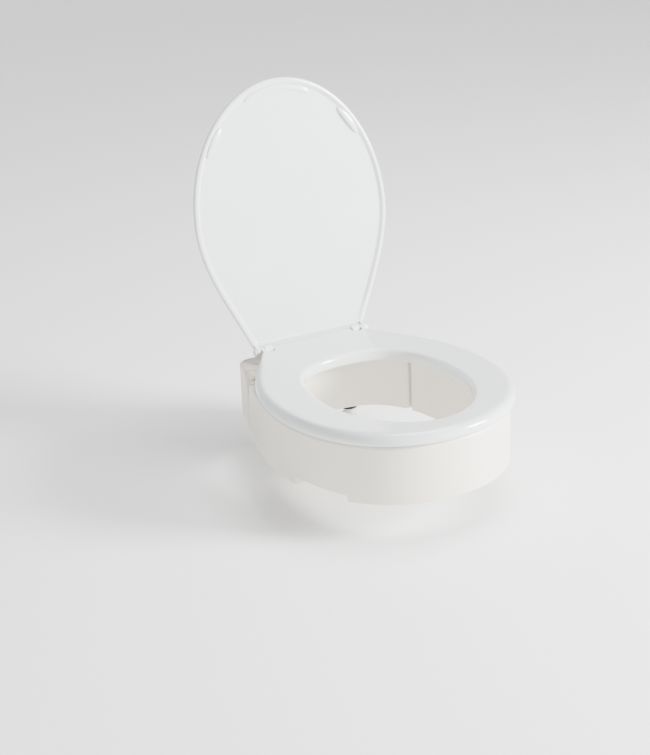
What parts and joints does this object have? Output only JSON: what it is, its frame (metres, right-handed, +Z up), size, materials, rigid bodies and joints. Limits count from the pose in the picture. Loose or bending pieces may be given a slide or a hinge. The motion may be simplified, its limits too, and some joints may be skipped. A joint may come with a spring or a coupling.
{
  "type": "raised toilet seat",
  "caption": "Hinged toilet seat riser bolted behind the bowl, with a swing-up hollow ring, a round closed-front seat and a lid leaning open.",
  "frame": {"origin": "midway between the two bowl bolts, on the bowl-rim plane that the foot pads rest on", "axes": "+Z up, -Y towards the front of the seat, +X to the right seen from the front of the bowl looking back"},
  "size_m": [0.362, 0.5081, 0.5709],
  "materials": {
    "riser_plastic": "satin moulded polypropylene, warm cream white",
    "seat_plastic": "glossy moulded plastic, cool white",
    "hinge_plastic": "satin moulded plastic, white",
    "fastener_nylon": "semi-matt nylon, natural white",
    "bush_plastic": "matt acetal, off white",
    "foot_rubber": "matt soft rubber, light grey",
    "washer_rubber": "matt black rubber",
    "washer_steel": "plain zinc-plated steel"
  },
  "bodies": {
    "base": {"rear_block": "riser_plastic", "rear_block_foot_pads": "foot_rubber", "pivot_pin_left": "fastener_nylon", "pivot_pin_right": "fastener_nylon", "hinge_post_left": "hinge_plastic", "hinge_post_right": "hinge_plastic", "bolt_cap_left": "hinge_plastic", "bolt_cap_right": "hinge_plastic", "bowl_bolt_left": "fastener_nylon", "bowl_bolt_right": "fastener_nylon", "rubber_washer_left": "washer_rubber", "rubber_washer_right": "washer_rubber", "flat_washer_left": "washer_steel", "flat_washer_right": "washer_steel"},
    "riser": {"riser_ring": "riser_plastic", "riser_ring_foot_pads": "foot_rubber", "pivot_bush_left": "bush_plastic", "pivot_bush_right": "bush_plastic"},
    "hinge_pins": {"hinge_pin_left": "hinge_plastic", "hinge_pin_right": "hinge_plastic"},
    "seat": {"seat_ring": "seat_plastic", "seat_bumpers": "foot_rubber"},
    "lid": {"lid": "seat_plastic", "lid_bumpers": "foot_rubber"},
    "nut_left": {"wing_nut_left": "fastener_nylon"},
    "nut_right": {"wing_nut_right": "fastener_nylon"}
  },
  "joints": [
    {"name": "riser_lift", "type": "hinge", "parent": "base", "child": "riser", "pos_m": [0, -0.062, 0.072], "axis": [-1, 0, 0], "range_deg": [0, 80]},
    {"name": "pins_follow_riser", "type": "hinge", "parent": "base", "child": "hinge_pins", "pos_m": [0, -0.012, 0.107], "axis": [-1, 0, 0], "range_deg": [0, 80]},
    {"name": "seat_hinge", "type": "hinge", "parent": "hinge_pins", "child": "seat", "pos_m": [0, -0.012, 0.107], "axis": [1, 0, 0], "range_deg": [-95, 0]},
    {"name": "lid_hinge", "type": "hinge", "parent": "base", "child": "lid", "pos_m": [0, -0.012, 0.107], "axis": [-1, 0, 0], "range_deg": [-100.4, 0]},
    {"name": "nut_left_travel", "type": "slide", "parent": "base", "child": "nut_left", "axis": [0, 0, -1], "range_m": [0, 0.028]},
    {"name": "nut_right_travel", "type": "slide", "parent": "base", "child": "nut_right", "axis": [0, 0, -1], "range_m": [0, 0.028]}
  ],
  "couplings": [
    {"joint": "pins_follow_riser", "follows": "riser_lift", "ratio": 1}
  ]
}
